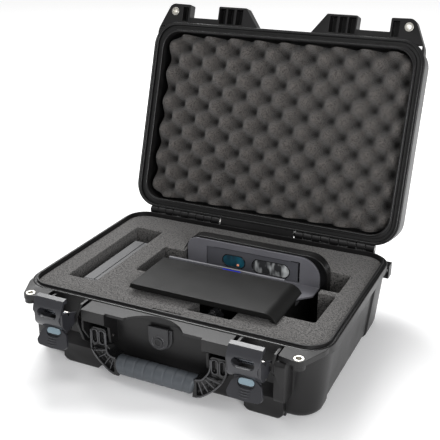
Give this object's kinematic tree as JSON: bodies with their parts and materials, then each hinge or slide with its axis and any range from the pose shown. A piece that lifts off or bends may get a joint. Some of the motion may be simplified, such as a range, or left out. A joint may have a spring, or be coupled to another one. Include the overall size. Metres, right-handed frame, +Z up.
{
  "type": "3-D camera in carrying case",
  "caption": "Hard carrying case, standing open, with cut foam that holds a lift-out 3-D scanning camera and its power adapter; over-centre latches and a folding handle.",
  "frame": {"origin": "middle of the base's underside, where the case stands", "axes": "+X to the right along the front, +Y towards the hinge, +Z up"},
  "size_m": [0.442, 0.5027, 0.4261],
  "materials": {
    "shell": "textured black polypropylene",
    "part": "satin dark grey nylon",
    "grip": "soft grey overmould",
    "seal": "matt black rubber",
    "foam": "open-cell charcoal foam",
    "lid_foam": "egg-crate charcoal foam",
    "steel": "brushed stainless steel",
    "membrane": "white microporous film",
    "lock": "satin pale blue-grey",
    "housing": "satin black",
    "bezel": "satin mid grey",
    "panel": "smooth grey",
    "teal_glass": "dichroic coated glass",
    "clear_glass": "clear glass",
    "optic": "coated lens",
    "barrel": "black anodised",
    "bracket": "plain aluminium",
    "board": "green laminate",
    "battery": "shrink wrapped cells",
    "light": "blue light pipe",
    "brass": "plain brass",
    "adapter": "satin light grey",
    "adapter_end": "satin black"
  },
  "bodies": {
    "case": {"base_shell": "shell", "base_foam": "foam", "hinge_pin_left": "steel", "hinge_pin_right": "steel", "base_eyelets": "steel", "handle_pins": "steel", "latch_pin_left": "steel", "latch_pin_right": "steel", "valve_body": "part", "valve_cap": "part", "valve_membrane": "membrane", "valve_nut": "part"},
    "lid": {"lid_shell": "shell", "lid_seal": "seal", "lid_foam": "lid_foam", "lid_eyelets": "steel"},
    "latch_left": {"claw_left": "part", "roller_left": "steel", "lever_pin_left": "steel"},
    "latch_right": {"claw_right": "part", "roller_right": "steel", "lever_pin_right": "steel"},
    "lever_left": {"lever_left": "part"},
    "lever_right": {"lever_right": "part"},
    "lock_left": {"lock_left": "lock"},
    "lock_right": {"lock_right": "lock"},
    "handle": {"handle_frame": "part", "handle_grip": "grip"},
    "camera": {"lower_housing": "housing", "rear_housing": "housing", "front_bezel": "bezel", "sensor_panel": "panel", "projector_window": "teal_glass", "camera_window": "clear_glass", "lens_barrels": "barrel", "lens_glass": "optic", "sensor_bracket": "bracket", "sensor_board": "board", "main_board": "board", "battery_pack": "battery", "cover_plate": "housing", "status_light": "light", "port_cover": "seal", "tripod_insert": "brass", "clamp_block": "barrel", "housing_screws": "steel", "rubber_feet": "seal"},
    "clamp": {"clamp_screw": "steel", "clamp_knob": "housing"},
    "button": {"power_button": "panel"},
    "adapter": {"adapter_shell": "adapter", "adapter_base": "adapter", "adapter_board": "board", "adapter_inlet": "adapter_end"}
  },
  "joints": [
    {"name": "lid_hinge", "type": "hinge", "parent": "case", "child": "lid", "pos_m": [0, 0.156, 0.1045], "axis": [-1, 0, 0], "range_deg": [-107.8, 0], "deforming": ["lid_foam"]},
    {"name": "handle_pivot", "type": "hinge", "parent": "case", "child": "handle", "pos_m": [0, -0.1593, 0.0597], "axis": [-1, 0, 0], "range_deg": [0, 100]},
    {"name": "camera_lift", "type": "slide", "parent": "case", "child": "camera", "axis": [0, 0, 1], "range_m": [0, 0.15]},
    {"name": "clamp_turn", "type": "hinge", "parent": "camera", "child": "clamp", "pos_m": [0.0465, -0.09, 0.084], "axis": [0, 1, 0], "continuous": true},
    {"name": "power_press", "type": "slide", "parent": "camera", "child": "button", "axis": [0, -1, 0], "range_m": [0, 0.001], "stiffness_N_per_m": 400},
    {"name": "adapter_lift", "type": "slide", "parent": "case", "child": "adapter", "axis": [0, 0, 1], "range_m": [0, 0.12]},
    {"name": "latch_left_pivot", "type": "hinge", "parent": "case", "child": "latch_left", "pos_m": [-0.136, -0.172, 0.084], "axis": [1, 0, 0], "range_deg": [-52, 0]},
    {"name": "lever_left_pivot", "type": "hinge", "parent": "latch_left", "child": "lever_left", "pos_m": [-0.136, -0.1865, 0.0725], "axis": [-1, 0, 0], "range_deg": [-76, 0]},
    {"name": "lock_left_slide", "type": "slide", "parent": "lever_left", "child": "lock_left", "axis": [0, -0.4067, -0.9135], "range_m": [0, 0.003], "stiffness_N_per_m": 400},
    {"name": "latch_right_pivot", "type": "hinge", "parent": "case", "child": "latch_right", "pos_m": [0.136, -0.172, 0.084], "axis": [1, 0, 0], "range_deg": [-52, 0]},
    {"name": "lever_right_pivot", "type": "hinge", "parent": "latch_right", "child": "lever_right", "pos_m": [0.136, -0.1865, 0.0725], "axis": [-1, 0, 0], "range_deg": [-76, 0]},
    {"name": "lock_right_slide", "type": "slide", "parent": "lever_right", "child": "lock_right", "axis": [0, -0.4067, -0.9135], "range_m": [0, 0.003], "stiffness_N_per_m": 400}
  ]
}
